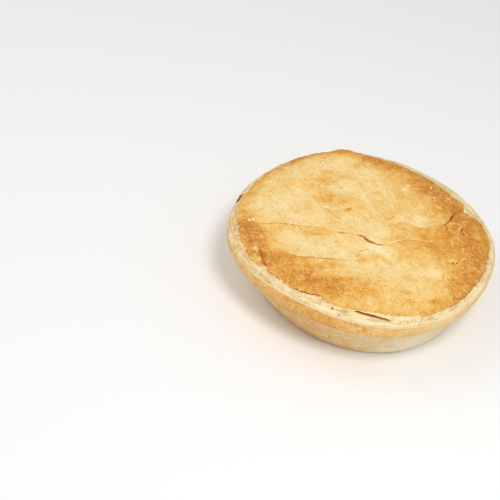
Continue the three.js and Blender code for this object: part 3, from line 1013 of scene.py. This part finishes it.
def cut_edge_crumb(finish, fray, speckle):
    """The colour of the cut edge, pale crumb with thin level leaves in it, and the height of those leaves."""
    level_place = finish.stretched(0.12, 0.12, 2.2)
    layers = finish.clouds(1.0, 5, level_place, roughness=0.8)
    patches = finish.clouds(5, 4, roughness=0.7)
    # Darker at some sides: partly fraying, partly painted shade.
    colour = finish.blend((layers * 2.4 + patches * 1.4 + fray * 0.12).within(-0.05, 0.3), CRUMB, CRUMB_SHADE)
    pale_leaves = finish.clouds(0.8, 3, level_place, roughness=0.8)
    colour = finish.blend(pale_leaves.within(0.02, 0.12) * 0.85, colour, CRUMB_PALE)
    baked = (speckle * 0.7 + finish.clouds(4) + fray * 0.12).within(0.10, 0.26)
    colour = finish.blend(baked * 0.5, colour, AMBER)
    gaps = (pale_leaves + 0.1).near(0.02) * patches.within(-0.05, 0.1)
    colour = finish.blend(gaps * (0.35 + fray * 0.4), colour, CRACK_AND_SHADE_BROWN)
    # Painted shade darkens the slot under the lifted leaves.
    lift = finish.field("lift")
    colour = finish.blend(lift.within(0.1, 0.5), colour, CRACK_AND_SHADE_BROWN)
    colour = finish.blend(lift.within(0.5, 1.0) * 0.8, colour, SCORCHED_AND_SHADE_BROWN)
    return colour, layers


def lid_finish():
    finish = Finish("browned flaky pastry", Specular_IOR_Level=PASTRY_SHINE)
    skin, fray = finish.field("skin"), finish.field("fray")
    mottle = finish.clouds(9, 6, distortion=0.9, roughness=0.9)
    speckle = finish.clouds(0.8, 2, roughness=0.9)
    jitter = finish.clouds(1.6)
    browned, skin_height = browned_skin(finish, skin, mottle, speckle, jitter)
    crumb, layers = cut_edge_crumb(finish, fray, speckle)

    # The skin ends in a ragged line at the rim, more so where the cut edge is frayed.
    fringe = finish.clouds(2.4, 5, distortion=1.2, roughness=0.8) * 11 * fray
    on_top = (skin + jitter * 1.8 + fringe).within(-0.3, 0.15)
    colour = finish.blend(on_top, crumb, browned)
    # The pin holes and dried gravy are dark; painted shade darkens the crumble gap and the cut edge under the
    # flap.
    dark = finish.field("dark") + (skin - 0.9).near(1.3) * finish.field("flap_rim") * 0.9 + speckle * 0.4
    colour = finish.blend(dark.within(0.15, 0.6), colour, CRACK_AND_SHADE_BROWN)
    colour = finish.blend(dark.within(0.5, 0.9) * 0.95, colour, BURNT_AND_SHADOW_DARK)
    roughness = 0.80 - on_top * 0.12 + mottle * 0.3
    return finish.output(colour, roughness, skin_height + layers * (1 - on_top) * 0.35, LID_BUMP)


def case_finish():
    finish = Finish("smooth baked case pastry", Specular_IOR_Level=PASTRY_SHINE)
    part, toast = finish.field("part"), finish.field("toast")
    patches = finish.clouds(30, 2) * 1.6
    mottle = finish.clouds(7, 6, distortion=0.6, roughness=0.9)
    sand = finish.clouds(0.8, 2, roughness=0.9)
    sandy = sand * 0.6 + finish.clouds(2.4, 5, distortion=0.9, roughness=0.85) * 0.5

    # Darker or lighter by side: partly baking, partly painted shade.
    wall_bake_and_shade = toast + patches * 0.7 + mottle * 1.5 + sandy * 2.2 - 0.04
    wall = finish.ramp(wall_bake_and_shade, (0.0, WALL_PALE), (0.5, WALL_TAN), (1.0, WALL_TOAST))
    flour = finish.net(2.4, finish.warped(5, 3)).near(0.06) * finish.clouds(7).within(-0.05, 0.12)
    wall = finish.blend(flour * 0.45, wall, WALL_PALE)

    blotches = finish.clouds(2.6, 4, distortion=0.8, roughness=0.75).within(0.0, 0.10)
    blotches = blotches * finish.clouds(12, 2).within(-0.15, 0.1)
    band_bake_and_shade = toast * 0.9 + patches * 0.3 + mottle * 1.5 + blotches * 0.32 + sandy * 2.2 + 0.02
    band = finish.ramp(band_bake_and_shade, (0.0, BAND_PALE), (0.45, BAND_GOLD), (1.0, BAND_TOAST))

    # The parts of the case by their numbers: the band over the wall, the browner base, the pale seam.
    colour = finish.blend((part + mottle * 1.2).within(1.15, 1.75), wall, band)
    colour = finish.blend((1 - part).within(0.2, 1.0) * 0.8, colour, BASE_BROWN)
    colour = finish.blend((part + mottle * 0.2).within(2.91, 2.99) * 0.8, colour, CRUMB_PALE)
    colour = finish.blend((finish.field("dark") + sand * 0.4).within(0.2, 0.7) * 0.9, colour, SCORCHED_AND_SHADE_BROWN)
    return finish.output(colour, 0.76 + patches * 0.06, sand * 0.6 + mottle * 1.0, CASE_BUMP)


# ---- Camera, floor and light -----------------------------

# How far down the camera looks, its roll, its field of view and its distance.
VIEW_ELEVATION = 41.3
VIEW_ROLL = 8.55
VIEW_ANGLE = 24.0
VIEW_DISTANCE = 541.0
# This point under the pie, from the frame's origin, shows so far to the right of the lens axis and above it.
VIEW_POINT = (1.23, -2.29)
VIEW_OFFSET = (48.3, -13.75)

# The floor and the lamps are in metres: name, place, diameter, power.
FLOOR_HALF_WIDTH = 3.0
LAMPS = (("key", (0.10, -0.32, 0.62), 0.22, 1.98), ("fill", (-0.5, 0.1, 0.6), 0.6, 0.8))
WORLD_WHITE = (1.0, 1.0, 1.0, 1.0)
WORLD_STRENGTH = 0.59


def make_camera():
    elevation, roll = math.radians(VIEW_ELEVATION), math.radians(VIEW_ROLL)
    forward = Vector((0, math.cos(elevation), -math.sin(elevation)))
    level_up = Vector((0, math.sin(elevation), math.cos(elevation)))
    right = math.cos(roll) * Vector((1, 0, 0)) + math.sin(roll) * level_up
    up = math.cos(roll) * level_up - math.sin(roll) * Vector((1, 0, 0))
    place = Vector((*VIEW_POINT, 0)) - VIEW_OFFSET[0] * right - VIEW_OFFSET[1] * up - VIEW_DISTANCE * forward
    lens = bpy.data.cameras.new("camera")
    lens.sensor_width = 36.0
    lens.lens = lens.sensor_width / 2 / math.tan(math.radians(VIEW_ANGLE / 2))
    lens.clip_start, lens.clip_end = 0.01, 20.0
    camera = bpy.data.objects.new("camera", lens)
    camera.matrix_world = Matrix.Translation(place * MM) @ Matrix((right, up, -forward)).transposed().to_4x4()
    bpy.context.scene.collection.objects.link(camera)
    bpy.context.scene.camera = camera


def make_floor():
    shape = bmesh.new()
    bmesh.ops.create_grid(shape, x_segments=1, y_segments=1, size=FLOOR_HALF_WIDTH)
    mesh = bpy.data.meshes.new("floor")
    shape.to_mesh(mesh)
    shape.free()
    floor = bpy.data.objects.new("floor", mesh)
    finish = Finish("matt white table", Base_Color=FLOOR_WHITE, Roughness=FLOOR_ROUGHNESS)
    floor.data.materials.append(finish.material)
    bpy.context.scene.collection.objects.link(floor)


def make_light():
    world = bpy.data.worlds.new("pale studio")
    world.use_nodes = True
    background = world.node_tree.nodes["Background"]
    background.inputs["Color"].default_value = WORLD_WHITE
    background.inputs["Strength"].default_value = WORLD_STRENGTH
    bpy.context.scene.world = world
    for name, place, diameter, power in LAMPS:
        light = bpy.data.lights.new(name, "AREA")
        light.shape, light.size, light.energy = "DISK", diameter, power
        lamp = bpy.data.objects.new(name, light)
        lamp.location = place
        lamp.rotation_euler = (-Vector(place)).to_track_quat("-Z", "Y").to_euler()
        bpy.context.scene.collection.objects.link(lamp)
    bpy.context.scene.view_settings.view_transform = "Standard"


# ---- The pie ---------------------------------------------

case = make_case()
case.data.materials.append(case_finish())
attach(case, "root")
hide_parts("case")

lid = make_lid()
lid.data.materials.append(lid_finish())
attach(lid, "root")
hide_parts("lid")

make_camera()
make_floor()
make_light()
